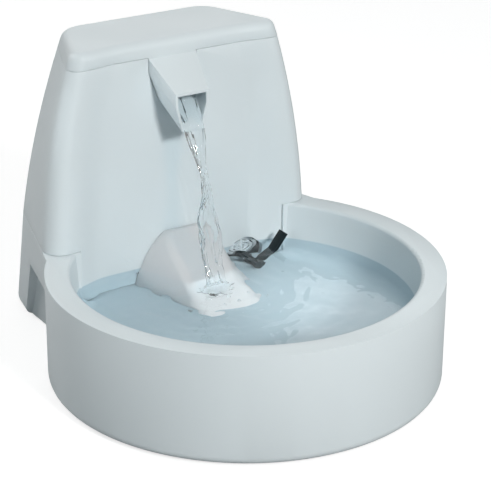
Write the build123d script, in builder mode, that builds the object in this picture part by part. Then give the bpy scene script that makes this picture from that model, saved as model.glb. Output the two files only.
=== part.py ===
"""Pet drinking fountain: a round bowl with a tower behind it.

A pump in the well behind the bowl lifts the water up a riser into the cap,
and it falls from the cap's spout onto a ramp that stands in the bowl.

Millimetres. The origin is on the bowl's axis, on the plane that the fountain
stands on. +Z is up, and the bowl is towards -Y.
"""

import os
from collections import namedtuple
from math import atan2, cos, hypot, radians, sin, tan

from build123d import *

os.makedirs("parts", exist_ok=True)

# ---------------------------------------------------------------- bowl and base
bowl_radius = 125.0
bowl_height = 72.0
rim_width = 16.0
rim_round = 5.0
rim_inner_round = 2.5
foot_round = 6.0
skirt_gap = 0.8  # from the resting plane to the skirt's edge
basin_wall = 3.5
pool_floor = 22.0
pool_wall_lean = 2.5
pool_corner_round = 12.0
pool_back = 73.5  # where the pool's wall ends beside the tower
slot_half_width = 76.8  # the gap in the pool's wall that the tower's skirt fills

# ------------------------------------------------------- well behind the bowl
well_floor = 10.0
well_front = 84.5
well_half_width = 75.0
well_back = 164.0
well_step = 49.0  # above this height the well is as wide as the tower
underside_wall = 3.0
back_gap = 7.0  # inside the double back wall
back_gap_height = 30.0
back_gap_half_width = 60.0

# --------------------------------------------------- hand recess on each side
recess_depth_x = 78.5
recess_top = 45.0
recess_back_low = 146.5
recess_back_high = 129.5

# --------------------------------------------------------------- rubber feet
foot_radius = 9.0
foot_height = 2.0
foot_boss_radius = 11.0
front_foot_x = 68.0
front_foot_y = -72.0
rear_foot_x = 55.0
rear_foot_y = 148.0

# -------------------------------------------------------------- tower and cap
# Each station is the tower's plan at one height. shoulder is its half width
# level with shoulder_back, taper the angle at which the sides close towards the
# back, and front the most forward line of the two corner columns. column and
# rear are the radii of the front and back corners, and blend is the width of
# the curve from a column to the recessed panel.
Station = namedtuple("Station", "z shoulder taper front back column rear blend")
shoulder_back = 95.5
FOOT = Station(skirt_gap, 93.2, 11.3, 73.5, 184.0, 12.0, 26.0, 32.0)
RIM = Station(bowl_height, 95.1, 16.0, 73.5, 168.0, 12.0, 26.0, 32.0)
WAIST = Station(132.0, 87.8, 18.6, 75.5, 155.0, 10.5, 24.0, 28.0)
TOP = Station(189.0, 73.6, 21.0, 78.0, 141.0, 8.0, 20.0, 25.0)
CROWN = Station(200.0, 70.3, 21.7, 78.7, 138.5, 8.0, 19.0, 24.0)

panel_line = 81.0  # front face of the recessed panel between the columns
tower_wall = 3.0
seam_gap = 0.3
seam_depth = 1.2  # the shadow line at each seam; inside it the parts rest
skirt_bottom = 24.0
skirt_side_gap = 0.5
cap_wall = 3.0
cap_edge_round = 6.0
cap_lip_depth = 5.0
cap_lip_wall = 1.8
cap_lip_gap = 0.4

# --------------------------------------------------------------------- spout
spout_x = -4.0
spout_root_line = 81.0
spout_tip_line = 57.0
spout_root_top = 188.4
spout_tip_top = 170.8
spout_root_half = 17.3
spout_tip_half = 12.0
spout_root_depth = 27.0
spout_tip_depth = 25.5
spout_side_share = 0.34  # upright part of the spout's sides
spout_floor_share = 0.62  # the spout's floor against its top, in width
spout_wall = 1.8
spout_overlap = 7.0  # how far the spout runs back into the cap's tray
notch_gap = 0.4

# ----------------------------------------------- tray that feeds the spout
tray_left = -25.0
tray_right = 61.7
tray_back = 108.0
tray_bottom = 162.0
tray_wall = 2.0

# ---------------------------------------------------------------------- pump
pump_x = 50.5
pump_z = 38.0
pump_half_width = 22.5
pump_bottom = 14.5
pump_top = 62.0
pump_corner_round = 5.0
pump_face = 84.8
cover_back = 99.5
motor_back = 141.0
screen_radius = 12.6
screen_thick = 2.4
screen_gap = 0.2
gate_radius = 11.4
gate_thick = 1.6
gate_room = 3.0
inlet_radius = 6.0
chamber_radius = 15.0
chamber_depth = 7.0
rotor_radius = 8.8
rotor_length = 27.0
rotor_gap = 0.8
shaft_radius = 1.5
shaft_gap = 0.05
bush_radius = 3.5
bush_length = 4.0
groove_radius = 19.0
groove_width = 2.0
groove_depth = 1.6
blade_count = 6
blade_thick = 1.2
blade_reach = 13.4

# ------------------------------------------------------------ flow control
lever_x = 48.5
lever_z = 28.4
lever_hub_radius = 4.2
lever_front = 59.2
lever_back = 67.0
lever_thick = 2.2
lever_left = (38.6, 46.8)
lever_fold = (48.5, 30.0)
lever_fold_round = 3.0
lever_right = (70.3, 57.4)
lever_stem_radius = 2.5
arch_x = 50.5
arch_z = 38.0
arch_radius = 13.3

# -------------------------------------------------------------------- riser
riser_y = 95.6
outlet_radius = 3.8
spigot_radius = 5.8
spigot_length = 10.0
riser_wall = 1.3
riser_gap = 0.05
riser_top = 176.0
seal_height = 3.0
seal_wall = 1.2

# -------------------------------------------------------------------- filter
filter_left = -69.0
filter_right = 14.0
filter_front = 90.6
filter_thick = 11.0
filter_top = 62.0
filter_frame_bar = 4.0
filter_gap = 0.4
filter_bars = 5
rail_thick = 3.0
rail_hook = 9.0

# ---------------------------------------------------------------------- ramp
ramp_x = 2.0
ramp_back = 80.5
ramp_wall = 2.5
RampSection = namedtuple("RampSection", "z back_half front_half front corner")
RAMP = [
    RampSection(pool_floor, 35.0, 21.0, 16.2, 10.0),
    RampSection(40.0, 34.0, 19.5, 36.0, 9.5),
    RampSection(57.0, 27.0, 18.0, 56.5, 8.0),
    RampSection(66.0, 19.0, 16.5, 69.0, 6.0),
    RampSection(70.8, 12.5, 10.5, 75.5, 2.5),
]
ramp_crown_round = 1.5

# ------------------------------------------------------------- lead grommet
lead_x = 40.0
lead_radius = 3.2
grommet_width = 12.0
grommet_bottom = 66.0
grommet_top = 80.0
grommet_flange = 2.0
grommet_flange_thick = 2.4
grommet_gap = 0.3
grommet_lean = 2.2  # the base's back wall leans out below the notch


# ------------------------------------------------------------------ outlines
def tower_half_line(station, inset=0.0):
    """Right half of the tower's plan, drawn from the back to the front."""
    slant = radians(station.taper)
    out_x, out_y = cos(slant), sin(slant)
    side = out_x * station.shoulder + out_y * shoulder_back
    column_y = station.front + station.column
    column_x = (side - station.column - out_y * column_y) / out_x
    rear_y = station.back - station.rear
    rear_x = (side - station.rear - out_y * rear_y) / out_x
    rear_bend = (radians(90.0) + slant) / 2
    front_bend = (slant - radians(90.0)) / 2
    rear_r = station.rear - inset
    column_r = station.column - inset
    back_mid = (0.0, station.back - inset)
    back_end = (rear_x, station.back - inset)
    rear_mid = (rear_x + rear_r * cos(rear_bend), rear_y + rear_r * sin(rear_bend))
    rear_side = (rear_x + rear_r * out_x, rear_y + rear_r * out_y)
    front_side = (column_x + column_r * out_x, column_y + column_r * out_y)
    front_mid = (
        column_x + column_r * cos(front_bend),
        column_y + column_r * sin(front_bend),
    )
    column_front = (column_x, station.front + inset)
    panel_end = (column_x - station.blend, panel_line + inset)
    panel_mid = (0.0, panel_line + inset)
    Line(back_mid, back_end)
    ThreePointArc(back_end, rear_mid, rear_side)
    Line(rear_side, front_side)
    ThreePointArc(front_side, front_mid, column_front)
    Spline(column_front, panel_end, tangents=((-1, 0), (-1, 0)))
    Line(panel_end, panel_mid)


def tower_plan(station, inset=0.0, height=None):
    """The tower's plan at one station, as a face at that height."""
    level = station.z if height is None else height
    with BuildSketch(Plane.XY.offset(level)) as plan:
        with BuildLine():
            tower_half_line(station, inset)
            mirror(about=Plane.YZ)
        make_face()
    return plan.sketch.face()


def base_plan(station, front, inset=0.0, height=None):
    """The base's plan behind the bowl: the tower's sides run straight on."""
    slant = radians(station.taper)
    wall = inset / cos(slant)

    def half_width(y):
        return station.shoulder - tan(slant) * (y - shoulder_back) - wall

    back = station.back - inset
    level = station.z if height is None else height
    with BuildSketch(Plane.XY.offset(level)) as plan:
        Polygon(
            (-half_width(front), front),
            (half_width(front), front),
            (half_width(back), back),
            (-half_width(back), back),
            align=None,
        )
        rear_corners = plan.vertices().group_by(Axis.Y)[-1]
        fillet(rear_corners, station.rear - inset)
    return plan.sketch.face()


def spout_plan(line, top, half, depth, inset=0.0):
    """The spout's section at one distance from the bowl's axis."""
    floor_half = half * spout_floor_share
    side = depth * spout_side_share
    with BuildSketch(Plane.XZ.offset(-line)) as plan:
        Polygon(
            (spout_x - half + inset, top - inset),
            (spout_x + half - inset, top - inset),
            (spout_x + half - inset, top - side),
            (spout_x + floor_half - inset / 2, top - depth + inset),
            (spout_x - floor_half + inset / 2, top - depth + inset),
            (spout_x - half + inset, top - side),
            align=None,
        )
    return plan.sketch.face()


def spout_at(line, inset=0.0):
    """The spout's section at a line, continued along its own slopes."""
    share = (line - spout_root_line) / (spout_tip_line - spout_root_line)
    return spout_plan(
        line,
        spout_root_top + share * (spout_tip_top - spout_root_top),
        spout_root_half + share * (spout_tip_half - spout_root_half),
        spout_root_depth + share * (spout_tip_depth - spout_root_depth),
        inset,
    )


def ramp_plan(section, inset=0.0):
    """The ramp's plan at one height: wide at the wall, narrow in front."""
    with BuildSketch(Plane.XY.offset(section.z)) as plan:
        with Locations((ramp_x, 0)):
            Polygon(
                (-section.back_half + inset, ramp_back - inset),
                (section.back_half - inset, ramp_back - inset),
                (section.front_half - inset, section.front + inset),
                (-section.front_half + inset, section.front + inset),
                align=None,
            )
        fillet(plan.vertices().group_by(Axis.Y)[0], section.corner - inset)
    return plan.sketch.face()


def save(builder, name):
    """Label a finished sub-part and write it under its own name."""
    builder.part.label = name
    export_step(builder.part, f"parts/{name}.step")


# --------------------------------------------------------------------- basin
pool_radius = bowl_radius - rim_width

with BuildPart() as pool_hollow:
    with BuildSketch(Plane.XZ) as pool_profile:
        with BuildLine():
            lip_start = (pool_radius, bowl_height - rim_inner_round)
            lip = JernArc(lip_start, (0, 1), rim_inner_round, -90)
            Polyline(
                lip @ 1,
                (pool_radius + rim_inner_round, bowl_height + 1),
                (0, bowl_height + 1),
                (0, pool_floor),
                (pool_radius - pool_wall_lean, pool_floor),
                lip_start,
            )
        make_face()
        floor_corner = pool_profile.vertices().sort_by(Axis.X).group_by(Axis.Y)[0][-1]
        fillet(floor_corner, pool_corner_round)
    revolve(axis=Axis.Z)
    split(bisect_by=Plane.XZ.offset(-pool_back), keep=Keep.TOP)
    with BuildSketch(Plane.XY.offset(pool_floor)):
        with Locations((0, pool_back)):
            Rectangle(
                2 * slot_half_width,
                well_front - pool_back,
                align=(Align.CENTER, Align.MIN),
            )
    extrude(amount=bowl_height - pool_floor + 1)

with BuildPart() as skirt_hollow:
    hollow_radius = bowl_radius - basin_wall
    pool_outside = pool_radius + basin_wall
    with BuildSketch(Plane.XZ):
        with BuildLine():
            Polyline(
                (0, -1),
                (hollow_radius, -1),
                (hollow_radius, bowl_height - basin_wall - rim_round),
                (pool_outside, bowl_height - basin_wall - rim_round),
                (pool_outside - pool_wall_lean, pool_floor - underside_wall),
                (0, pool_floor - underside_wall),
                close=True,
            )
        make_face()
    revolve(axis=Axis.Z)
    split(bisect_by=Plane.XZ.offset(underside_wall - well_front), keep=Keep.TOP)

with BuildPart() as basin:
    block_front = bowl_radius * 0.4
    loft([base_plan(FOOT, block_front), base_plan(RIM, block_front)])
    fillet(basin.edges().group_by(Axis.Z)[0], foot_round)
    # The hand recesses are open below the band that joins tower and bowl.
    with BuildSketch(Plane.YZ.offset(recess_depth_x)):
        Polygon(
            (0, -1),
            (recess_back_low, -1),
            (recess_back_high, recess_top),
            (0, recess_top),
            align=None,
        )
    extrude(amount=bowl_radius - recess_depth_x, mode=Mode.SUBTRACT)
    with BuildSketch(Plane.YZ.offset(-recess_depth_x)):
        Polygon(
            (0, -1),
            (recess_back_low, -1),
            (recess_back_high, recess_top),
            (0, recess_top),
            align=None,
        )
    extrude(amount=recess_depth_x - bowl_radius, mode=Mode.SUBTRACT)
    # The bowl's own skirt and rim.
    with BuildSketch(Plane.XZ) as bowl_profile:
        with BuildLine():
            Polyline(
                (0, skirt_gap),
                (bowl_radius, skirt_gap),
                (bowl_radius, bowl_height),
                (0, bowl_height),
                close=True,
            )
        make_face()
        outer_corners = bowl_profile.vertices().group_by(Axis.X)[-1]
        fillet(outer_corners.sort_by(Axis.Y)[0], foot_round)
        fillet(outer_corners.sort_by(Axis.Y)[-1], rim_round)
    revolve(axis=Axis.Z)
    add(pool_hollow.part, mode=Mode.SUBTRACT)
    # The well: narrow below, as wide as the tower above its step.
    with BuildSketch(Plane.XY.offset(well_floor)):
        with Locations((0, well_front)):
            Rectangle(
                2 * well_half_width,
                well_back - well_front,
                align=(Align.CENTER, Align.MIN),
            )
    extrude(amount=well_step - well_floor, mode=Mode.SUBTRACT)
    with BuildSketch(Plane.XY.offset(well_step)):
        add(tower_plan(RIM, tower_wall + 1.0, height=0.0))
        with Locations((0, well_front)):
            Rectangle(
                2 * RIM.shoulder,
                RIM.back - well_front,
                align=(Align.CENTER, Align.MIN),
                mode=Mode.INTERSECT,
            )
            # The wall between the pool and the well ends below the slot.
            Rectangle(
                2 * slot_half_width,
                tower_wall,
                align=(Align.CENTER, Align.MIN),
            )
    extrude(amount=bowl_height - well_step, mode=Mode.SUBTRACT)
    # Hollow underside, with a boss for each foot.
    add(skirt_hollow.part, mode=Mode.SUBTRACT)
    with BuildSketch(Plane.XY.offset(-1)):
        with Locations((0, well_front + underside_wall)):
            Rectangle(
                2 * (well_half_width - underside_wall),
                well_back - well_front - 2 * underside_wall,
                align=(Align.CENTER, Align.MIN),
            )
    extrude(amount=well_floor - underside_wall + 1, mode=Mode.SUBTRACT)
    # The back is a double wall, open underneath.
    with BuildSketch(Plane.XY.offset(-1)):
        with Locations((0, well_back + underside_wall)):
            Rectangle(
                2 * back_gap_half_width,
                back_gap,
                align=(Align.CENTER, Align.MIN),
            )
    extrude(amount=back_gap_height + 1, mode=Mode.SUBTRACT)
    with BuildSketch(Plane.XY.offset(foot_height)):
        with Locations(
            (0, 0), (-front_foot_x, front_foot_y), (front_foot_x, front_foot_y)
        ):
            Circle(foot_boss_radius)
    extrude(amount=pool_floor - foot_height - 1)
    with BuildSketch(Plane.XY.offset(foot_height)):
        with Locations((-rear_foot_x, rear_foot_y), (rear_foot_x, rear_foot_y)):
            Circle(foot_boss_radius)
    extrude(amount=well_floor - foot_height - 1)
    # Rails that hold the filter upright in the well.
    rail_back = filter_front + filter_thick + filter_gap
    with BuildSketch(Plane.XY.offset(well_floor)):
        for edge, way in ((filter_left - filter_gap, -1), (filter_right + filter_gap, 1)):
            inner = edge - way * rail_hook
            outer = edge + way * rail_thick
            with Locations(((edge + outer) / 2, rail_back)):
                Rectangle(
                    rail_thick,
                    rail_back - well_front,
                    align=(Align.CENTER, Align.MAX),
                )
            with Locations(((inner + outer) / 2, rail_back)):
                Rectangle(
                    rail_hook + rail_thick,
                    rail_thick,
                    align=(Align.CENTER, Align.MIN),
                )
    extrude(amount=filter_top - well_floor - rail_thick)
    # Notch for the pump's lead in the back wall's edge.
    with BuildSketch(Plane.XZ.offset(-RIM.back - 3)):
        with Locations((lead_x, grommet_bottom)):
            Rectangle(
                grommet_width,
                bowl_height - grommet_bottom + 1,
                align=(Align.CENTER, Align.MIN),
            )
    extrude(amount=basin_wall + tower_wall + 7, mode=Mode.SUBTRACT)
save(basin, "basin")

with BuildPart() as rubber_feet:
    with BuildSketch():
        with Locations(
            (0, 0),
            (-front_foot_x, front_foot_y),
            (front_foot_x, front_foot_y),
            (-rear_foot_x, rear_foot_y),
            (rear_foot_x, rear_foot_y),
        ):
            Circle(foot_radius)
    extrude(amount=foot_height)
save(rubber_feet, "rubber_feet")

# --------------------------------------------------------------------- tower
tower_bottom = bowl_height + seam_gap

with BuildPart() as spout_notch:
    notch_lines = (spout_root_line - 12.0, spout_root_line + 12.0)
    loft([spout_at(line, inset=-notch_gap) for line in notch_lines])
    # The cap's front joins the spout here, so the tower's edge stops short.
    with BuildSketch(Plane.XY.offset(spout_root_top - 1)):
        with Locations((spout_x, spout_root_line - 1)):
            Rectangle(
                2 * (spout_root_half + notch_gap),
                tower_wall + 1.5,
                align=(Align.CENTER, Align.MIN),
            )
    extrude(amount=TOP.z - spout_root_top + 2)

with BuildPart() as tower_housing:
    for inset, mode in ((0.0, Mode.ADD), (tower_wall, Mode.SUBTRACT)):
        shell_plans = [
            tower_plan(RIM, inset, height=tower_bottom),
            tower_plan(WAIST, inset),
            tower_plan(TOP, inset),
        ]
        loft(shell_plans, mode=mode)
    # The front panel's skirt reaches down between the bowl and the well.
    with BuildSketch(Plane.XY.offset(skirt_bottom)):
        add(tower_plan(RIM, height=0.0))
        add(tower_plan(RIM, tower_wall, height=0.0), mode=Mode.SUBTRACT)
        with Locations((0, RIM.front)):
            Rectangle(
                2 * (slot_half_width - skirt_side_gap),
                well_front - RIM.front - 1,
                align=(Align.CENTER, Align.MIN),
                mode=Mode.INTERSECT,
            )
    extrude(amount=tower_bottom - skirt_bottom)
    # The inner part of the wall's lower edge rests on the base.
    with BuildSketch(Plane.XY.offset(bowl_height)):
        add(tower_plan(RIM, seam_depth, height=0.0))
        add(tower_plan(RIM, tower_wall, height=0.0), mode=Mode.SUBTRACT)
    extrude(amount=seam_gap)
    # Arch over the pump's intake, open at the skirt's lower edge.
    with BuildSketch(Plane.XZ.offset(-panel_line + 20)):
        with Locations((arch_x, arch_z)):
            Circle(arch_radius)
        with Locations((arch_x, arch_z)):
            Rectangle(
                2 * arch_radius,
                arch_z - skirt_bottom + 1,
                align=(Align.CENTER, Align.MAX),
            )
    extrude(amount=-40, mode=Mode.SUBTRACT)
    # Slots that let the water through to the filter, behind the ramp.
    slot_width = 3.0
    slot_height = 14.0
    slot_pitch = 7.0
    slot_count = 9
    with BuildSketch(Plane.XZ.offset(-panel_line + 20)):
        with Locations((-(slot_pitch / 2), skirt_bottom + 4 + slot_height / 2)):
            with GridLocations(slot_pitch, slot_height, slot_count, 1):
                SlotOverall(slot_height, slot_width, rotation=90)
    extrude(amount=-40, mode=Mode.SUBTRACT)
    add(spout_notch.part, mode=Mode.SUBTRACT)
    # Notch over the lead grommet.
    with BuildSketch(Plane.XZ.offset(-RIM.back - 1)):
        with Locations((lead_x, tower_bottom - 1)):
            Rectangle(
                grommet_width + 2 * grommet_gap,
                grommet_top + grommet_gap - tower_bottom + 1,
                align=(Align.CENTER, Align.MIN),
            )
    extrude(amount=tower_wall + 8, mode=Mode.SUBTRACT)
save(tower_housing, "tower_housing")

# ----------------------------------------------------------------------- cap
cap_bottom = TOP.z + seam_gap
cap_roof = CROWN.z - cap_wall
lip_inset = tower_wall + cap_lip_gap

with BuildPart() as top_cap:
    loft([tower_plan(TOP, height=cap_bottom), tower_plan(CROWN)])
    fillet(top_cap.faces().sort_by(Axis.Z)[-1].edges(), cap_edge_round)
    lip_inner = tower_plan(TOP, lip_inset + cap_lip_wall, height=0.0)
    with BuildSketch(Plane.XY.offset(cap_bottom)):
        add(lip_inner)
    extrude(amount=cap_roof - cap_bottom, mode=Mode.SUBTRACT)
    # The edge rests on the tower inside a shadow line.
    with BuildSketch(Plane.XY.offset(TOP.z)):
        add(tower_plan(TOP, seam_depth, height=0.0))
        add(lip_inner, mode=Mode.SUBTRACT)
    extrude(amount=seam_gap)
    # Lip that locates the cap in the tower's mouth.
    with BuildSketch(Plane.XY.offset(cap_bottom - cap_lip_depth)):
        add(tower_plan(TOP, lip_inset, height=0.0))
        add(lip_inner, mode=Mode.SUBTRACT)
    extrude(amount=cap_lip_depth)
    # Spout and the tray that feeds it.
    loft([spout_at(spout_root_line + spout_overlap), spout_at(spout_tip_line)])
    with BuildSketch(Plane.XY.offset(spout_root_top - 1)):
        with Locations((spout_x, panel_line)):
            Rectangle(
                2 * spout_root_half,
                lip_inset,
                align=(Align.CENTER, Align.MIN),
            )
    extrude(amount=cap_bottom - spout_root_top + 1.5)
    tray_front = spout_root_line + tower_wall + cap_lip_gap
    with BuildSketch(Plane.XY.offset(tray_bottom)):
        with Locations((tray_left, tray_front)):
            Rectangle(
                tray_right - tray_left,
                tray_back - tray_front,
                align=(Align.MIN, Align.MIN),
            )
    extrude(amount=cap_roof - tray_bottom + 1)
    with BuildSketch(Plane.XY.offset(tray_bottom + tray_wall)):
        with Locations((tray_left + tray_wall, tray_front + tray_wall)):
            Rectangle(
                tray_right - tray_left - 2 * tray_wall,
                tray_back - tray_front - 2 * tray_wall,
                align=(Align.MIN, Align.MIN),
            )
    extrude(amount=cap_roof - tray_bottom - tray_wall, mode=Mode.SUBTRACT)
    channel_plans = [
        spout_at(spout_root_line + spout_overlap, spout_wall),
        spout_at(spout_tip_line - 2, spout_wall),
    ]
    loft(channel_plans, mode=Mode.SUBTRACT)
    riser_radius = spigot_radius + riser_wall
    with BuildSketch(Plane.XY.offset(tray_bottom)):
        with Locations((pump_x, riser_y)):
            Circle(riser_radius + cap_lip_gap)
    extrude(amount=tray_wall, mode=Mode.SUBTRACT)
save(top_cap, "top_cap")

with BuildPart() as riser_seal:
    with BuildSketch(Plane.XY.offset(tray_bottom + tray_wall)):
        with Locations((pump_x, riser_y)):
            Circle(riser_radius + cap_lip_gap + seal_wall)
            Circle(riser_radius + shaft_gap, mode=Mode.SUBTRACT)
    extrude(amount=seal_height)
save(riser_seal, "riser_seal")

# ---------------------------------------------------------------------- ramp
with BuildPart() as receiving_ramp:
    loft([ramp_plan(section) for section in RAMP])
    crown_edges = receiving_ramp.faces().sort_by(Axis.Z)[-1].edges()
    fillet(crown_edges, ramp_crown_round)
    hollow_plans = [ramp_plan(section, ramp_wall) for section in RAMP[:-1]]
    loft(hollow_plans, mode=Mode.SUBTRACT)
save(receiving_ramp, "receiving_ramp")

# ---------------------------------------------------------------------- pump
pump_height = pump_top - pump_bottom
face_plane = Plane.XZ.offset(-pump_face)
cover_plane = Plane.XZ.offset(-cover_back)


def pump_outline(plane):
    """The pump's rounded outline on a plane across its axis."""
    with BuildSketch(plane) as outline:
        with Locations((pump_x, (pump_top + pump_bottom) / 2)):
            RectangleRounded(2 * pump_half_width, pump_height, pump_corner_round)
    return outline.sketch.face()


with BuildPart() as pump_cover:
    extrude(pump_outline(face_plane), amount=pump_face - cover_back)
    screen_seat = screen_thick + screen_gap
    with BuildSketch(face_plane):
        with Locations((pump_x, pump_z)):
            Circle(screen_radius + screen_gap)
    extrude(amount=-screen_seat, mode=Mode.SUBTRACT)
    with BuildSketch(face_plane.offset(-screen_seat)):
        with Locations((pump_x, pump_z)):
            Circle(gate_radius + screen_gap)
        with Locations((lever_x, lever_z)):
            Circle(lever_stem_radius + 2.0)
    extrude(amount=-gate_room, mode=Mode.SUBTRACT)
    with BuildSketch(face_plane.offset(-screen_seat - gate_room)):
        with Locations((pump_x, pump_z)):
            Circle(inlet_radius)
    extrude(amount=-(cover_back - pump_face), mode=Mode.SUBTRACT)
    with BuildSketch(cover_plane):
        with Locations((pump_x, pump_z)):
            Circle(chamber_radius)
    extrude(amount=chamber_depth, mode=Mode.SUBTRACT)
    # Outlet spigot, over the chamber.
    with BuildSketch(Plane.XY.offset(pump_top)):
        with Locations((pump_x, riser_y)):
            Circle(spigot_radius)
    extrude(amount=spigot_length)
    with BuildSketch(Plane.XY.offset(pump_top + spigot_length)):
        with Locations((pump_x, riser_y)):
            Circle(outlet_radius)
    bore_bottom = pump_z + chamber_radius - 3
    extrude(amount=bore_bottom - pump_top - spigot_length, mode=Mode.SUBTRACT)
    # Spider that holds the front end of the rotor's shaft.
    spider_thick = 1.3
    with BuildSketch(face_plane.offset(-screen_seat - gate_room)):
        with Locations((pump_x, pump_z)):
            Circle(2 * shaft_radius)
            Rectangle(2 * inlet_radius + 1, spider_thick)
            Rectangle(spider_thick, 2 * inlet_radius + 1)
            Circle(shaft_radius, mode=Mode.SUBTRACT)
    extrude(amount=-spider_thick)
save(pump_cover, "pump_cover")

with BuildPart() as cover_seal:
    with BuildSketch(cover_plane):
        with Locations((pump_x, pump_z)):
            Circle(groove_radius + groove_width / 2)
            Circle(groove_radius - groove_width / 2, mode=Mode.SUBTRACT)
    extrude(amount=-groove_depth)
save(cover_seal, "cover_seal")

cavity_radius = rotor_radius + rotor_gap
cavity_depth = rotor_length + 4.0

with BuildPart() as pump_motor:
    extrude(pump_outline(cover_plane), amount=cover_back - motor_back)
    fillet(pump_motor.faces().sort_by(Axis.Y)[-1].edges(), pump_corner_round - 1)
    with BuildSketch(cover_plane):
        with Locations((pump_x, pump_z)):
            Circle(cavity_radius)
    extrude(amount=-cavity_depth, mode=Mode.SUBTRACT)
    with BuildSketch(cover_plane.offset(-cavity_depth)):
        with Locations((pump_x, pump_z)):
            Circle(bush_radius)
    extrude(amount=-bush_length, mode=Mode.SUBTRACT)
    with BuildSketch(cover_plane):
        with Locations((pump_x, pump_z)):
            Circle(groove_radius + groove_width / 2)
            Circle(groove_radius - groove_width / 2, mode=Mode.SUBTRACT)
    extrude(amount=-groove_depth, mode=Mode.SUBTRACT)
save(pump_motor, "pump_motor")

# Concentric rings on a cross, seen through the arch.
with BuildPart() as intake_screen:
    ring_width = 2.5
    ring_pitch = 3.7
    bar_width = 1.5
    ring_radii = [screen_radius - turn * ring_pitch for turn in range(3)]
    with BuildSketch(face_plane.offset(-screen_gap)):
        with Locations((pump_x, pump_z)):
            for radius in ring_radii:
                Circle(radius)
                Circle(radius - ring_width, mode=Mode.SUBTRACT)
            Rectangle(2 * screen_radius - ring_width, bar_width)
            Rectangle(bar_width, 2 * screen_radius - ring_width)
        with Locations((lever_x, lever_z)):
            Circle(lever_stem_radius + 1.4)
            Circle(lever_stem_radius + shaft_gap, mode=Mode.SUBTRACT)
        with Locations((pump_x, pump_z)):
            Circle(screen_radius, mode=Mode.INTERSECT)
    extrude(amount=-screen_thick)
save(intake_screen, "intake_screen")

shaft_front = pump_face + screen_seat + gate_room
shaft_back = cover_back + cavity_depth + bush_length
with BuildPart() as shaft_bush:
    with BuildSketch(Plane.XZ.offset(-shaft_back)):
        with Locations((pump_x, pump_z)):
            Circle(bush_radius)
            Circle(shaft_radius, mode=Mode.SUBTRACT)
    extrude(amount=bush_length)
save(shaft_bush, "shaft_bush")

with BuildPart() as rotor_shaft:
    with BuildSketch(Plane.XZ.offset(-shaft_front)):
        with Locations((pump_x, pump_z)):
            Circle(shaft_radius)
    extrude(amount=shaft_front - shaft_back)
save(rotor_shaft, "rotor_shaft")

impeller_front = cover_back - chamber_depth + spider_thick
with BuildPart() as impeller:
    with BuildSketch(Plane.XZ.offset(-(cover_back + 0.6))):
        with Locations((pump_x, pump_z)):
            Circle(rotor_radius)
    extrude(amount=1.4)
    with BuildSketch(Plane.XZ.offset(-(cover_back - 0.4))):
        with Locations((pump_x, pump_z)):
            Circle(2.6 * shaft_radius)
            with PolarLocations((blade_reach + shaft_radius) / 2, blade_count):
                Rectangle(blade_reach - shaft_radius, blade_thick)
    extrude(amount=cover_back - 0.4 - impeller_front)
    with BuildSketch(Plane.XZ.offset(-(cover_back + 0.6))):
        with Locations((pump_x, pump_z)):
            Circle(shaft_radius + shaft_gap)
    extrude(amount=chamber_depth, mode=Mode.SUBTRACT)
save(impeller, "impeller")

with BuildPart() as rotor_magnet:
    with BuildSketch(Plane.XZ.offset(-(cover_back + 0.6))):
        with Locations((pump_x, pump_z)):
            Circle(rotor_radius)
            Circle(shaft_radius + shaft_gap, mode=Mode.SUBTRACT)
    extrude(amount=-rotor_length)
save(rotor_magnet, "rotor_magnet")

with BuildPart() as suction_cups:
    cup_height = pump_bottom - well_floor
    with BuildSketch(Plane.XZ) as cup_profile:
        with BuildLine():
            Polyline(
                (0, well_floor),
                (6.0, well_floor),
                (3.0, well_floor + cup_height * 0.6),
                (3.0, pump_bottom),
                (0, pump_bottom),
                close=True,
            )
        make_face()
    revolve(axis=Axis.Z)
    cup = suction_cups.part
with BuildPart() as cup_set:
    cup_columns = (pump_x - 14.0, pump_x + 14.0)
    with Locations(*[(x, y) for x in cup_columns for y in (104.0, 132.0)]):
        add(cup)
save(cup_set, "suction_cups")

# ---------------------------------------------------------------- flow lever
with BuildPart() as flow_lever:
    with BuildSketch(Plane.XZ.offset(-lever_front)):
        with BuildLine():
            FilletPolyline(lever_left, lever_fold, lever_right, radius=lever_fold_round)
        trace(line_width=lever_thick)
    extrude(amount=lever_front - lever_back)
    with BuildSketch(Plane.XZ.offset(-lever_front)):
        with Locations((lever_x, lever_z)):
            Circle(lever_hub_radius)
    extrude(amount=-(pump_face - lever_front - 2.0))
    with BuildSketch(Plane.XZ.offset(-lever_front)):
        with Locations((lever_x, lever_z)):
            Circle(lever_stem_radius)
    extrude(amount=-(pump_face + screen_seat + 0.5 - lever_front))
save(flow_lever, "flow_lever")

gate_front = pump_face + screen_seat + 0.5
with BuildPart() as flow_gate:
    gate_offset = hypot(pump_x - lever_x, pump_z - lever_z)
    with BuildSketch(Plane.XZ.offset(-gate_front)):
        with Locations((lever_x, lever_z)):
            Circle(lever_stem_radius + 1.0)
            Rectangle(4.0, gate_offset, align=(Align.CENTER, Align.MIN))
        with Locations((pump_x, pump_z)):
            Circle(inlet_radius - 1.0)
    extrude(amount=-gate_thick)
save(flow_gate, "flow_gate")

# --------------------------------------------------------------------- riser
with BuildPart() as riser_tube:
    with BuildSketch(Plane.XY.offset(pump_top)):
        with Locations((pump_x, riser_y)):
            Circle(riser_radius)
            Circle(spigot_radius + riser_gap, mode=Mode.SUBTRACT)
    extrude(amount=riser_top - pump_top)
save(riser_tube, "riser_tube")

# -------------------------------------------------------------------- filter
filter_width = filter_right - filter_left
filter_height = filter_top - well_floor
filter_x = (filter_left + filter_right) / 2
filter_plane = Plane.XZ.offset(-filter_front)
window_width = filter_width - 2 * filter_frame_bar
window_height = filter_height - 2 * filter_frame_bar
filter_z = (filter_top + well_floor) / 2

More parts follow.
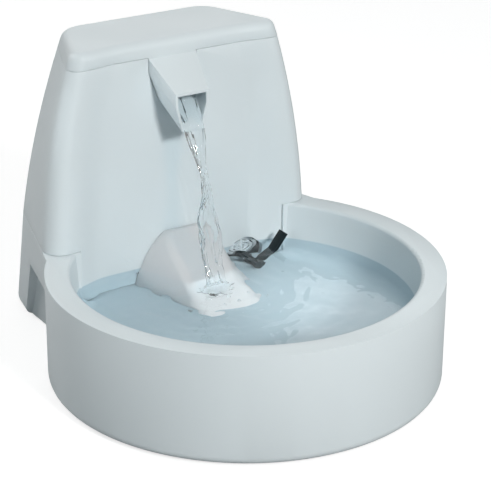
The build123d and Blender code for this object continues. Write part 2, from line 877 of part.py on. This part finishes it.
with BuildPart() as filter_frame:
    with BuildSketch(filter_plane):
        with Locations((filter_x, filter_z)):
            RectangleRounded(filter_width, filter_height, 3.0)
    extrude(amount=-filter_thick)
    with BuildSketch(filter_plane):
        with Locations((filter_x, filter_z)):
            Rectangle(window_width, window_height)
    extrude(amount=-filter_thick, mode=Mode.SUBTRACT)
    bar_pitch = window_width / (filter_bars + 1)
    for bar_plane in (filter_plane, filter_plane.offset(-(filter_thick - 1.5))):
        with BuildSketch(bar_plane):
            with Locations((filter_x, filter_z)):
                with GridLocations(bar_pitch, 0, filter_bars, 1):
                    Rectangle(1.5, window_height)
        extrude(amount=-1.5)
save(filter_frame, "filter_frame")

with BuildPart() as filter_charcoal:
    with BuildSketch(filter_plane.offset(-1.5)):
        with Locations((filter_x, filter_z)):
            Rectangle(window_width, window_height)
    extrude(amount=-(filter_thick - 3.0))
save(filter_charcoal, "filter_charcoal")

# -------------------------------------------------------------- lead grommet
with BuildPart() as lead_grommet:
    grommet_back = RIM.back + grommet_lean
    core_depth = grommet_lean + tower_wall + basin_wall
    core_plane = Plane.XZ.offset(-grommet_back)
    core_height = grommet_top - grommet_bottom
    core_z = (grommet_top + grommet_bottom) / 2
    with BuildSketch(core_plane):
        with Locations((lead_x, core_z)):
            Rectangle(grommet_width, core_height)
    extrude(amount=core_depth)
    with BuildSketch(core_plane):
        with Locations((lead_x, core_z)):
            RectangleRounded(
                grommet_width + 2 * grommet_flange,
                core_height + 2 * grommet_flange,
                grommet_flange,
            )
    extrude(amount=-grommet_flange_thick)
    with BuildSketch(core_plane.offset(-grommet_flange_thick)):
        with Locations((lead_x, core_z)):
            Circle(lead_radius)
    extrude(amount=core_depth + grommet_flange_thick, mode=Mode.SUBTRACT)
save(lead_grommet, "lead_grommet")
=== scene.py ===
"""Finish, water, light and camera for the pet drinking fountain."""

import math

import bmesh
import bpy
from mathutils import Matrix, Vector, noise


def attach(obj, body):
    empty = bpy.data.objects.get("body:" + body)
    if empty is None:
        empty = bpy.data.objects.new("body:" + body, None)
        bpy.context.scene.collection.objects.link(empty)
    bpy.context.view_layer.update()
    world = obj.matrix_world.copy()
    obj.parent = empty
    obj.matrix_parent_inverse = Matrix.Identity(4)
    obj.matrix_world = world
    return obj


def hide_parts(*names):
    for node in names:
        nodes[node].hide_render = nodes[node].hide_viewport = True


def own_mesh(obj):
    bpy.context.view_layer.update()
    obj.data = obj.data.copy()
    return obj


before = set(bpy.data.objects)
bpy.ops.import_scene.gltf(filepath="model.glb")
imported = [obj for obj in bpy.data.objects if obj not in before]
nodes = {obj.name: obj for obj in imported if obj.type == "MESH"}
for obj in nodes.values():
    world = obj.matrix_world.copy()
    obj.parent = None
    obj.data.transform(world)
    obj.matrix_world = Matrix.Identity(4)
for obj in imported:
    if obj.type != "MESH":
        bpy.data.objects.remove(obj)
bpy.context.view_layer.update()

MM = 0.001


# ------------------------------------------------------------- small helpers
def only(piece):
    """Select one piece and make it active."""
    bpy.ops.object.select_all(action="DESELECT")
    piece.select_set(True)
    bpy.context.view_layer.objects.active = piece


def linear(red, green, blue):
    """A colour given in display values, as the renderer wants it."""
    parts = []
    for value in (red, green, blue):
        share = value / 255.0
        parts.append(share / 12.92 if share <= 0.04045 else ((share + 0.055) / 1.055) ** 2.4)
    return (*parts, 1.0)


def apply_all(piece):
    """Apply a piece's modifiers in order."""
    only(piece)
    for modifier in list(piece.modifiers):
        bpy.ops.object.modifier_apply(modifier=modifier.name)


def place(piece):
    """Put a piece's place and size into its mesh."""
    only(piece)
    bpy.ops.object.transform_apply(location=True, rotation=True, scale=True)


# ------------------------------------------------------------ shader effects
def new_group(name, inputs, outputs):
    """A node group with these sockets: v for vector, c for colour, f for value."""
    group = bpy.data.node_groups.new(name, "ShaderNodeTree")
    kinds = {"v": "NodeSocketVector", "c": "NodeSocketColor", "f": "NodeSocketFloat"}
    for label, kind in inputs:
        group.interface.new_socket(label, in_out="INPUT", socket_type=kinds[kind])
    for label, kind in outputs:
        group.interface.new_socket(label, in_out="OUTPUT", socket_type=kinds[kind])
    start = group.nodes.new("NodeGroupInput")
    end = group.nodes.new("NodeGroupOutput")
    return group, start, end


def moulded_finish():
    """Moulded plastic: cloudy tone, hazy and clearer patches, a fine grain."""
    group, start, end = new_group(
        "moulded_finish",
        [
            ("Place", "v"),
            ("Light", "c"),
            ("Dark", "c"),
            ("Smooth", "f"),
            ("Rough", "f"),
            ("Grain", "f"),
        ],
        [("Colour", "c"), ("Roughness", "f"), ("Height", "f")],
    )
    link = group.links.new
    cloud = group.nodes.new("ShaderNodeTexNoise")
    cloud.inputs["Scale"].default_value = 9.0
    cloud.inputs["Detail"].default_value = 4.0
    link(start.outputs["Place"], cloud.inputs["Vector"])
    tone = group.nodes.new("ShaderNodeMix")
    tone.data_type = "RGBA"
    link(cloud.outputs["Fac"], tone.inputs["Factor"])
    link(start.outputs["Light"], tone.inputs["A"])
    link(start.outputs["Dark"], tone.inputs["B"])
    link(tone.outputs["Result"], end.inputs["Colour"])
    haze = group.nodes.new("ShaderNodeTexNoise")
    haze.inputs["Scale"].default_value = 34.0
    haze.inputs["Detail"].default_value = 6.0
    haze.inputs["Distortion"].default_value = 0.6
    link(start.outputs["Place"], haze.inputs["Vector"])
    gloss = group.nodes.new("ShaderNodeMapRange")
    gloss.inputs["From Min"].default_value = 0.3
    gloss.inputs["From Max"].default_value = 0.7
    link(haze.outputs["Fac"], gloss.inputs["Value"])
    link(start.outputs["Smooth"], gloss.inputs["To Min"])
    link(start.outputs["Rough"], gloss.inputs["To Max"])
    link(gloss.outputs["Result"], end.inputs["Roughness"])
    grain = group.nodes.new("ShaderNodeTexNoise")
    grain.inputs["Detail"].default_value = 2.0
    link(start.outputs["Place"], grain.inputs["Vector"])
    link(start.outputs["Grain"], grain.inputs["Scale"])
    link(grain.outputs["Fac"], end.inputs["Height"])
    return group


FINISH = moulded_finish()


def moulded(name, light, dark, smooth, rough, grain=1400.0, depth=0.00002, ior=1.46):
    """A moulded material from one light and one dark tone of its colour."""
    material = bpy.data.materials.new(name)
    material.use_nodes = True
    tree = material.node_tree
    shader = tree.nodes["Principled BSDF"]
    shader.inputs["IOR"].default_value = ior
    where = tree.nodes.new("ShaderNodeTexCoord")
    finish = tree.nodes.new("ShaderNodeGroup")
    finish.node_tree = FINISH
    finish.inputs["Light"].default_value = light
    finish.inputs["Dark"].default_value = dark
    finish.inputs["Smooth"].default_value = smooth
    finish.inputs["Rough"].default_value = rough
    finish.inputs["Grain"].default_value = grain
    bump = tree.nodes.new("ShaderNodeBump")
    bump.inputs["Strength"].default_value = 0.35
    bump.inputs["Distance"].default_value = depth
    tree.links.new(where.outputs["Object"], finish.inputs["Place"])
    tree.links.new(finish.outputs["Colour"], shader.inputs["Base Color"])
    tree.links.new(finish.outputs["Roughness"], shader.inputs["Roughness"])
    tree.links.new(finish.outputs["Height"], bump.inputs["Height"])
    tree.links.new(bump.outputs["Normal"], shader.inputs["Normal"])
    return material


def paint_shade_below_water(material, tint, level=0.0472, reach=0.113, edge=0.0006):
    """Painted shade: darken and blue the colour of what the water covers inside the bowl, in
    place of the light the water takes up.
    """
    tree = material.node_tree
    link = tree.links.new
    shader = tree.nodes["Principled BSDF"]
    own_colour = shader.inputs["Base Color"].links[0].from_socket
    where = tree.nodes.new("ShaderNodeTexCoord")
    apart = tree.nodes.new("ShaderNodeSeparateXYZ")
    link(where.outputs["Object"], apart.inputs[0])
    flat = tree.nodes.new("ShaderNodeCombineXYZ")
    link(apart.outputs["X"], flat.inputs["X"])
    link(apart.outputs["Y"], flat.inputs["Y"])
    away = tree.nodes.new("ShaderNodeVectorMath")
    away.operation = "LENGTH"
    link(flat.outputs[0], away.inputs[0])
    low = tree.nodes.new("ShaderNodeMapRange")
    low.inputs["From Min"].default_value = level + edge
    low.inputs["From Max"].default_value = level - edge
    link(apart.outputs["Z"], low.inputs["Value"])
    near = tree.nodes.new("ShaderNodeMath")
    near.operation = "LESS_THAN"
    near.inputs[1].default_value = reach
    link(away.outputs["Value"], near.inputs[0])
    both = tree.nodes.new("ShaderNodeMath")
    both.operation = "MULTIPLY"
    link(low.outputs["Result"], both.inputs[0])
    link(near.outputs[0], both.inputs[1])
    # Multiply the painted underwater shade into the plastic's own colour below the water level.
    water_shade_mix = tree.nodes.new("ShaderNodeMix")
    water_shade_mix.data_type = "RGBA"
    water_shade_mix.blend_type = "MULTIPLY"
    water_shade_mix.inputs["B"].default_value = tint
    link(both.outputs[0], water_shade_mix.inputs["Factor"])
    link(own_colour, water_shade_mix.inputs["A"])
    link(water_shade_mix.outputs["Result"], shader.inputs["Base Color"])


def clear_water(name, tint, shade, glints=True):
    """Clear water that lets the lamps' light through, shaded, to what it covers.

    Without glints it throws no bright patches on what is behind it, as a thin stream.
    """
    material = bpy.data.materials.new(name)
    material.use_nodes = True
    tree = material.node_tree
    shader = tree.nodes["Principled BSDF"]
    shader.inputs["Base Color"].default_value = tint
    shader.inputs["Roughness"].default_value = 0.0
    shader.inputs["IOR"].default_value = 1.33
    shader.inputs["Transmission Weight"].default_value = 1.0
    out = tree.nodes["Material Output"]
    rays = tree.nodes.new("ShaderNodeLightPath")
    pass_light = tree.nodes.new("ShaderNodeBsdfTransparent")
    pass_light.inputs["Color"].default_value = shade
    blend = tree.nodes.new("ShaderNodeMixShader")
    through = tree.nodes.new("ShaderNodeMath")
    through.operation = "MAXIMUM"
    through.inputs[1].default_value = 0.0
    tree.links.new(rays.outputs["Is Shadow Ray"], through.inputs[0])
    if not glints:
        tree.links.new(rays.outputs["Is Diffuse Ray"], through.inputs[1])
    tree.links.new(through.outputs[0], blend.inputs["Fac"])
    tree.links.new(shader.outputs["BSDF"], blend.inputs[1])
    tree.links.new(pass_light.outputs["BSDF"], blend.inputs[2])
    tree.links.new(blend.outputs["Shader"], out.inputs["Surface"])
    return material


SHELL_LIGHT, SHELL_DARK = linear(213, 221, 224), linear(209, 218, 221)
SHELL = moulded("shell_plastic", SHELL_LIGHT, SHELL_DARK, 0.44, 0.54)
# The basin and tower get a copy of the shell plastic whose colour is darkened under the water
# level: painted shade for the light the water takes up.
UNDERWATER_SHADED_SHELL = moulded("shell_plastic_painted_underwater_shade", SHELL_LIGHT, SHELL_DARK, 0.44, 0.54)
paint_shade_below_water(UNDERWATER_SHADED_SHELL, (0.60, 0.69, 0.74, 1.0))
# The ramp takes a greyer tone of the shell plastic. It is also darker, as painted shade, to dim
# how brightly the lamps light it.
RAMP_SHADED_SHELL = moulded("ramp_plastic_painted_shade", linear(193, 195, 197), linear(189, 192, 194), 0.4, 0.5)
DARK = moulded("dark_plastic", linear(18, 32, 37), linear(11, 22, 26), 0.45, 0.55, ior=1.3)
RUBBER = moulded("foot_rubber", linear(52, 53, 55), linear(38, 39, 41), 0.62, 0.8, 900.0, 0.00006)
TUBE = moulded("tube_plastic", linear(200, 208, 212), linear(190, 199, 204), 0.25, 0.4)
ROTOR = moulded("rotor_plastic", linear(226, 226, 220), linear(214, 214, 208), 0.35, 0.5)
MAGNET = moulded("ferrite", linear(74, 74, 76), linear(58, 58, 61), 0.5, 0.7, 2200.0, 0.00004)
STEEL = moulded("shaft_steel", linear(196, 196, 200), linear(180, 180, 185), 0.16, 0.26, 2400.0)
STEEL.node_tree.nodes["Principled BSDF"].inputs["Metallic"].default_value = 1.0
FILTER = moulded("filter_plastic", linear(224, 228, 228), linear(212, 217, 217), 0.4, 0.55)
CHARCOAL = moulded(
    "charcoal_felt", linear(66, 66, 68), linear(34, 34, 36), 0.85, 1.0, 700.0, 0.0006
)
POOL = clear_water("pool_water", tint=(0.94, 0.975, 0.985, 1.0), shade=(0.92, 0.96, 0.97, 1.0))
STREAM = clear_water(
    "stream_water",
    tint=(0.97, 0.985, 0.99, 1.0),
    shade=(0.93, 0.965, 0.98, 1.0),
    glints=False,
)

FINISHES = {
    "basin": UNDERWATER_SHADED_SHELL,
    "tower_housing": UNDERWATER_SHADED_SHELL,
    "top_cap": SHELL,
    "receiving_ramp": RAMP_SHADED_SHELL,
    "rubber_feet": RUBBER,
    "riser_tube": TUBE,
    "riser_seal": RUBBER,
    "flow_lever": DARK,
    "flow_gate": DARK,
    "pump_cover": DARK,
    "pump_motor": DARK,
    "intake_screen": TUBE,
    "cover_seal": RUBBER,
    "impeller": ROTOR,
    "rotor_magnet": MAGNET,
    "rotor_shaft": STEEL,
    "shaft_bush": RUBBER,
    "suction_cups": RUBBER,
    "filter_frame": FILTER,
    "filter_charcoal": CHARCOAL,
    "lead_grommet": RUBBER,
}
for node, finish in FINISHES.items():
    for material_slot in nodes[node].material_slots:
        material_slot.material = finish
    if not nodes[node].material_slots:
        nodes[node].data.materials.append(finish)


# ---------------------------------------------------------- moulded shells
SHARP = math.radians(50.0)
CLEAR_OF_MIDDLE = 10.0


def round_upright(piece, behind, middle_x, radius):
    """Round the upright edges behind a line, left and right of the piece's middle."""
    shape = bmesh.new()
    shape.from_mesh(piece.data)
    chosen = []
    for edge in shape.edges:
        one, two = (vertex.co / MM for vertex in edge.verts)
        upright = abs(one.z - two.z) > abs(one.x - two.x)
        at_back = min(one.y, two.y) > behind
        at_side = abs((one.x + two.x) / 2 - middle_x) > CLEAR_OF_MIDDLE
        if upright and at_back and at_side and len(edge.link_faces) == 2:
            if edge.calc_face_angle(0.0) > SHARP:
                chosen.append(edge)
    bmesh.ops.bevel(
        shape,
        geom=chosen,
        offset=radius * MM,
        offset_type="OFFSET",
        segments=5,
        profile=0.5,
        affect="EDGES",
        clamp_overlap=True,
    )
    shape.to_mesh(piece.data)
    shape.free()


def close_pinhole(piece, spot, reach):
    """Draw the points round a pinhole together, both left and right."""
    shape = bmesh.new()
    shape.from_mesh(piece.data)
    for side in (-1.0, 1.0):
        centre = Vector((side * spot[0], spot[1], spot[2]))
        ring = [v for v in shape.verts if (v.co / MM - centre).length < reach]
        if len(ring) > 1:
            middle = sum((v.co for v in ring), Vector()) / len(ring)
            bmesh.ops.pointmerge(shape, verts=ring, merge_co=middle)
    shape.to_mesh(piece.data)
    shape.free()


def dress(node, body, edge=0.5, crease=28.0, back_round=None, pinhole=None):
    """A smooth, soft-edged skin of a moulded part, in the part's place."""
    piece = bpy.data.objects.new(f"{node}_moulded", nodes[node].data.copy())
    bpy.context.scene.collection.objects.link(piece)
    only(piece)
    if pinhole:
        close_pinhole(piece, *pinhole)
    bpy.ops.object.mode_set(mode="EDIT")
    bpy.ops.mesh.select_all(action="SELECT")
    bpy.ops.mesh.remove_doubles(threshold=0.000002)
    bpy.ops.mesh.dissolve_limited(angle_limit=math.radians(0.5))
    bpy.ops.object.mode_set(mode="OBJECT")
    if back_round:
        round_upright(piece, *back_round)
    bevel = piece.modifiers.new("soft_edges", "BEVEL")
    bevel.width = edge * MM
    bevel.segments = 2
    bevel.limit_method = "ANGLE"
    bevel.angle_limit = math.radians(crease)
    bevel.use_clamp_overlap = True
    bevel.harden_normals = False
    apply_all(piece)
    bpy.ops.object.shade_smooth_by_angle(angle=math.radians(crease + 6.0))
    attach(piece, body)
    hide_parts(node)


dress("basin", "base", 0.6, pinhole=((74.9, 163.6, 47.3), 2.15))
dress("tower_housing", "tower", 0.4)
dress("top_cap", "cap", 0.4)
dress("receiving_ramp", "ramp", 0.8, back_round=(80.0, 2.0, 5.0))
dress("flow_lever", "lever", 0.4)
dress("rubber_feet", "base", 0.5)


# --------------------------------------------------------------------- water
WATER_LEVEL = 47.0
BOWL_FLOOR = 21.8
SPLASH = Vector((-4.0, 27.0))
STIRRED, STIR_RADIUS = Vector((-14.0, -24.0)), 32.0


def waves(x, y, pitch, layer):
    """Smooth noise of about one wave in 1/pitch millimetres."""
    return noise.noise(Vector((x * pitch, y * pitch, layer)))


def ripple(x, y):
    """Height of the pool's surface over its level, in millimetres."""
    spot = Vector((x, y))
    away = (spot - SPLASH).length
    fade = math.exp(-away / 60.0)
    swirl = 5.0 * waves(x, y, 0.05, 1.0)
    rings = 0.42 * fade * math.sin((away + swirl) * 0.55)
    chop = 0.88 * fade * waves(x, y, 0.12, 5.0)
    drift = 0.6 * waves(x, y, 0.05, 3.0)
    fine = 0.14 * waves(x, y, 0.22, 8.0)
    stir = math.exp(-(((spot - STIRRED).length / STIR_RADIUS) ** 2))
    fizz = 0.7 * stir * waves(x, y, 0.2, 11.0)
    return rings + chop + drift + fine + fizz


def holds_water(x, y, half_width):
    """Whether a spot lies in the bowl, in the opening behind it, or in the well."""
    in_bowl = y < 74.5 and math.hypot(x, y) < 110.8
    in_slot = 66.0 < y < 84.0 and abs(x) < half_width
    past_corner = Vector((max(0.0, abs(x) - 51.0), max(0.0, y - 140.0))).length
    in_well = y > 80.0 and abs(x) < half_width and past_corner < 24.6
    return in_bowl or in_slot or in_well


def pool_water():
    """The water in the bowl and in the well behind it, at one level."""
    pitch = 1.55
    half_x, low_y, high_y = 71 * pitch, -71 * pitch, 107 * pitch
    half_width = 50 * pitch + 0.1
    bpy.ops.mesh.primitive_grid_add(
        x_subdivisions=round(2 * half_x / pitch),
        y_subdivisions=round((high_y - low_y) / pitch),
        size=1.0,
        location=(0.0, (low_y + high_y) / 2 * MM, WATER_LEVEL * MM),
    )
    water = bpy.context.object
    water.name = "pool_water"
    water.scale = (2 * half_x * MM, (high_y - low_y) * MM, 1.0)
    place(water)
    only(water)
    mesh = water.data
    bpy.ops.object.mode_set(mode="EDIT")
    bpy.ops.mesh.select_mode(type="VERT")
    bpy.ops.mesh.select_all(action="DESELECT")
    bpy.ops.object.mode_set(mode="OBJECT")
    for vertex in mesh.vertices:
        vertex.select = not holds_water(vertex.co.x / MM, vertex.co.y / MM, half_width)
    bpy.ops.object.mode_set(mode="EDIT")
    bpy.ops.mesh.delete(type="VERT")
    bpy.ops.mesh.select_all(action="SELECT")
    bpy.ops.mesh.extrude_region_move(
        TRANSFORM_OT_translate={"value": (0.0, 0.0, (BOWL_FLOOR - WATER_LEVEL) * MM)}
    )
    bpy.ops.mesh.select_all(action="SELECT")
    bpy.ops.mesh.normals_make_consistent(inside=False)
    bpy.ops.object.mode_set(mode="OBJECT")
    for vertex in mesh.vertices:
        if vertex.co.z > BOWL_FLOOR * MM + 0.01:
            vertex.co.z += ripple(vertex.co.x / MM, vertex.co.y / MM) * MM
    bpy.ops.object.shade_smooth_by_angle(angle=math.radians(50.0))
    mesh.materials.append(POOL)
    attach(water, "base")


pool_water()

# The fall's path: y and z, half width, half thickness and twist in degrees.
FALL = [
    (84.0, 179.0, 12.0, 4.0, 0.0),
    (72.0, 166.8, 9.6, 3.8, 0.0),
    (61.5, 156.2, 7.8, 6.4, 0.0),
    (56.0, 150.0, 6.4, 5.5, 0.0),
    (51.5, 139.0, 6.0, 2.6, 10.0),
    (46.5, 128.0, 4.4, 2.4, 35.0),
    (42.5, 118.0, 3.6, 2.6, 60.0),
    (40.0, 107.0, 4.4, 2.2, 40.0),
    (39.0, 97.0, 6.0, 1.9, 15.0),
    (37.5, 85.0, 7.4, 1.8, 0.0),
    (36.0, 72.0, 7.6, 1.8, -15.0),
    (33.0, 62.0, 5.6, 2.2, -30.0),
    (30.5, 54.0, 4.6, 2.6, -10.0),
    (28.8, 49.8, 5.6, 3.6, 0.0),
    (27.8, 47.6, 8.4, 6.0, 0.0),
    (27.2, 46.0, 12.0, 9.0, 0.0),
]
FALL_X = -4.0


def on_fall(step):
    """The path's values at a step, which may be between two of its points."""
    low = min(int(step), len(FALL) - 2)
    share = step - low
    return [a + (b - a) * share for a, b in zip(FALL[low], FALL[low + 1])]


def falling_water():
    """The stream from the spout to the bowl, ribbed and twisted as it falls."""
    sides, rows_per_point = 56, 9
    rows = rows_per_point * (len(FALL) - 1)
    bpy.ops.mesh.primitive_circle_add(vertices=sides, radius=1.0, fill_type="NGON")
    stream = bpy.context.object
    stream.name = "falling_water"
    bpy.ops.object.mode_set(mode="EDIT")
    for _ in range(rows):
        bpy.ops.mesh.extrude_region_move(
            TRANSFORM_OT_translate={"value": (0.0, 0.0, -1.0)}
        )
    bpy.ops.object.mode_set(mode="OBJECT")
    for vertex in stream.data.vertices:
        step = -vertex.co.z / rows_per_point
        y, z, half_wide, half_thick, twist = on_fall(step)
        rough = min(1.0, max(0.4, (step - 2.0) / 5.0))
        around = math.atan2(vertex.co.y, vertex.co.x)
        spot = Vector((math.cos(around) * 2.2, math.sin(around) * 2.2, z * 0.045))
        lump = noise.noise(spot) + 0.6 * noise.noise(spot * 2.3 + Vector((4.0, 0.0, 0.0)))
        swell = 1.0 + 0.62 * rough * lump
        across = vertex.co.x * half_wide * swell
        depth = vertex.co.y * half_thick * swell
        cosine, sine = math.cos(math.radians(twist)), math.sin(math.radians(twist))
        sway = 0.9 * rough * noise.noise(Vector((z * 0.06, 7.0, 0.0)))
        x = FALL_X + sway + across * cosine - depth * sine
        y += across * sine * 0.6 + depth * cosine
        vertex.co = Vector((x, y, z)) * MM
    only(stream)
    bpy.ops.object.mode_set(mode="EDIT")
    bpy.ops.mesh.select_all(action="SELECT")
    bpy.ops.mesh.normals_make_consistent(inside=False)
    bpy.ops.object.mode_set(mode="OBJECT")
    round_off = stream.modifiers.new("round_off", "SUBSURF")
    round_off.levels = 1
    round_off.render_levels = 1
    apply_all(stream)
    bpy.ops.object.shade_smooth()
    stream.data.materials.append(STREAM)
    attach(stream, "cap")
    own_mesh(stream)


falling_water()


def droplets():
    """Drops thrown up where the stream enters the bowl, and bubbles round it."""
    places = [
        # x, y, height over the water, radius
        (-9.0, 20.0, 1.2, 1.3),
        (2.0, 18.0, 3.0, 0.9),
        (6.0, 26.0, 1.0, 1.1),
        (-14.0, 30.0, 0.6, 1.2),
        (-5.0, 12.0, 0.8, 1.4),
        (-18.0, 17.0, 0.4, 1.0),
        (10.0, 12.0, 0.5, 0.9),
        (-2.0, 4.0, 0.4, 1.1),
        (-12.0, 5.0, 0.3, 0.8),
        (1.5, 33.0, 7.0, 0.8),
        (-11.0, 33.0, 10.0, 0.7),
        (18.0, 3.0, 0.3, 0.9),
    ]
    drops = []
    for x, y, rise, radius in places:
        level = WATER_LEVEL + ripple(x, y)
        bpy.ops.mesh.primitive_ico_sphere_add(
            subdivisions=3,
            radius=radius * MM,
            location=(x * MM, y * MM, (level + rise) * MM),
        )
        drop = bpy.context.object
        drop.scale = (1.0, 1.0, 0.8)
        drops.append(drop)
    bpy.ops.object.select_all(action="DESELECT")
    for drop in drops:
        drop.select_set(True)
    bpy.context.view_layer.objects.active = drops[0]
    bpy.ops.object.join()
    splash = bpy.context.object
    splash.name = "splash_drops"
    place(splash)
    bpy.ops.object.shade_smooth()
    splash.data.materials.append(STREAM)
    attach(splash, "base")


droplets()


# ------------------------------------------------------------ floor and light
def stage_floor():
    """A white floor that keeps the shadow and throws little light back up."""
    bpy.ops.mesh.primitive_plane_add(size=12.0, location=(0.0, 0.0, 0.0))
    floor = bpy.context.object
    floor.name = "floor"
    material = bpy.data.materials.new("floor_white")
    material.use_nodes = True
    tree = material.node_tree
    shader = tree.nodes["Principled BSDF"]
    shader.inputs["Base Color"].default_value = (0.42, 0.42, 0.42, 1.0)
    shader.inputs["Roughness"].default_value = 0.9
    shader.inputs["Specular IOR Level"].default_value = 0.0
    rays = tree.nodes.new("ShaderNodeLightPath")
    shader.inputs["Emission Color"].default_value = (1.0, 1.0, 1.0, 1.0)
    lift = tree.nodes.new("ShaderNodeMath")
    lift.operation = "MULTIPLY"
    lift.inputs[1].default_value = 0.74
    tree.links.new(rays.outputs["Is Camera Ray"], lift.inputs[0])
    tree.links.new(lift.outputs[0], shader.inputs["Emission Strength"])
    floor.data.materials.append(material)


stage_floor()

def background(tree, colour, strength):
    """One background of the world, with its colour and strength."""
    plain = tree.nodes.new("ShaderNodeBackground")
    plain.inputs["Color"].default_value = colour
    plain.inputs["Strength"].default_value = strength
    return plain


def studio():
    """A white backdrop, a dim fill, and a window that only mirrored rays see."""
    world = bpy.data.worlds.new("studio")
    bpy.context.scene.world = world
    world.use_nodes = True
    tree = world.node_tree
    link = tree.links.new
    tree.nodes.clear()
    out = tree.nodes.new("ShaderNodeOutputWorld")
    fill = background(tree, (0.87, 0.97, 1.0, 1.0), 0.27)
    seen = background(tree, (1.0, 1.0, 1.0, 1.0), 1.0)
    mirrored = tree.nodes.new("ShaderNodeBackground")
    sky = tree.nodes.new("ShaderNodeTexCoord")
    window = tree.nodes.new("ShaderNodeVectorMath")
    window.operation = "DOT_PRODUCT"
    window.inputs[1].default_value = (0.46, 0.72, 0.52)
    room = tree.nodes.new("ShaderNodeMapRange")
    room.interpolation_type = "SMOOTHSTEP"
    room.inputs["From Min"].default_value = 0.80
    room.inputs["From Max"].default_value = 0.97
    room.inputs["To Min"].default_value = 0.3
    room.inputs["To Max"].default_value = 2.1
    link(sky.outputs["Generated"], window.inputs[0])
    link(window.outputs["Value"], room.inputs["Value"])
    link(room.outputs["Result"], mirrored.inputs["Strength"])
    rays = tree.nodes.new("ShaderNodeLightPath")
    shine = tree.nodes.new("ShaderNodeMixShader")
    link(rays.outputs["Is Glossy Ray"], shine.inputs["Fac"])
    link(fill.outputs["Background"], shine.inputs[1])
    link(mirrored.outputs["Background"], shine.inputs[2])
    choose = tree.nodes.new("ShaderNodeMixShader")
    link(rays.outputs["Is Camera Ray"], choose.inputs["Fac"])
    link(shine.outputs["Shader"], choose.inputs[1])
    link(seen.outputs["Background"], choose.inputs[2])
    link(choose.outputs["Shader"], out.inputs["Surface"])


studio()


def hang(lamp, energy, colour, place_at, look_at):
    """Put a lamp in the scene, turned towards a spot."""
    lamp.energy = energy
    lamp.color = colour
    holder = bpy.data.objects.new(lamp.name, lamp)
    bpy.context.scene.collection.objects.link(holder)
    holder.location = place_at
    aim = Vector(look_at) - Vector(place_at)
    holder.rotation_euler = aim.to_track_quat("-Z", "Y").to_euler()


def soft_lamp(name, place_at, look_at, size, energy, colour):
    """A round lamp with a soft shadow."""
    lamp = bpy.data.lights.new(name, "AREA")
    lamp.shape = "DISK"
    lamp.size = size
    hang(lamp, energy, colour, place_at, look_at)


def spot_lamp(name, place_at, look_at, spread, energy, colour):
    """A narrow lamp that reaches only what it is turned to."""
    lamp = bpy.data.lights.new(name, "SPOT")
    lamp.spot_size = math.radians(spread)
    lamp.spot_blend = 0.8
    lamp.shadow_soft_size = 0.03
    hang(lamp, energy, colour, place_at, look_at)


soft_lamp("key", (0.06, -2.0, 1.28), (0.0, 0.05, 0.08), 0.42, 38.5, (1.0, 0.985, 0.97))
soft_lamp("overhead", (0.1, 0.3, 2.3), (0.0, 0.05, 0.1), 1.2, 3.4, (1.0, 0.955, 0.92))
soft_lamp("side", (-0.6, 0.85, 0.7), (0.0, 0.1, 0.12), 0.4, 4.6, (1.0, 0.94, 0.91))
soft_lamp("low", (-1.4, -0.45, 0.4), (0.0, 0.06, 0.15), 0.5, 1.7, (0.90, 0.97, 1.0))
spot_lamp("pool", (-0.15, -0.75, 1.35), (0.056, -0.010, 0.03), 5.7, 39.0, (1.0, 0.98, 0.96))
spot_lamp("spout", (-0.60, 0.045, 0.13), (-0.02, 0.066, 0.166), 7.0, 4.0, (0.93, 0.98, 1.0))
spot_lamp("ramp", (-0.90, -0.25, 0.55), (-0.012, 0.060, 0.066), 5.0, 12.0, (0.96, 0.99, 1.0))

# -------------------------------------------------------------------- camera
PAN, TILT, ROLL = math.radians(32.736), math.radians(23.248), math.radians(-0.406)
STANDS_AT = (-0.5705, -0.8917, 0.5410)
ahead = Vector(
    (math.sin(PAN) * math.cos(TILT), math.cos(PAN) * math.cos(TILT), -math.sin(TILT))
)
right = Vector((math.cos(PAN), -math.sin(PAN), 0.0))
turn = Matrix.Rotation(ROLL, 3, ahead)
right = turn @ right
upward = right.cross(ahead)
camera = bpy.data.cameras.new("camera")
camera.sensor_fit = "HORIZONTAL"
camera.sensor_width = 36.0
camera.lens = 136.21
camera.shift_x = -0.0084
camera.clip_start = 0.05
camera_object = bpy.data.objects.new("camera", camera)
bpy.context.scene.collection.objects.link(camera_object)
rotation = Matrix((right, upward, -ahead)).transposed().to_4x4()
camera_object.matrix_world = Matrix.Translation(STANDS_AT) @ rotation
bpy.context.scene.camera = camera_object
bpy.context.scene.view_settings.view_transform = "Standard"
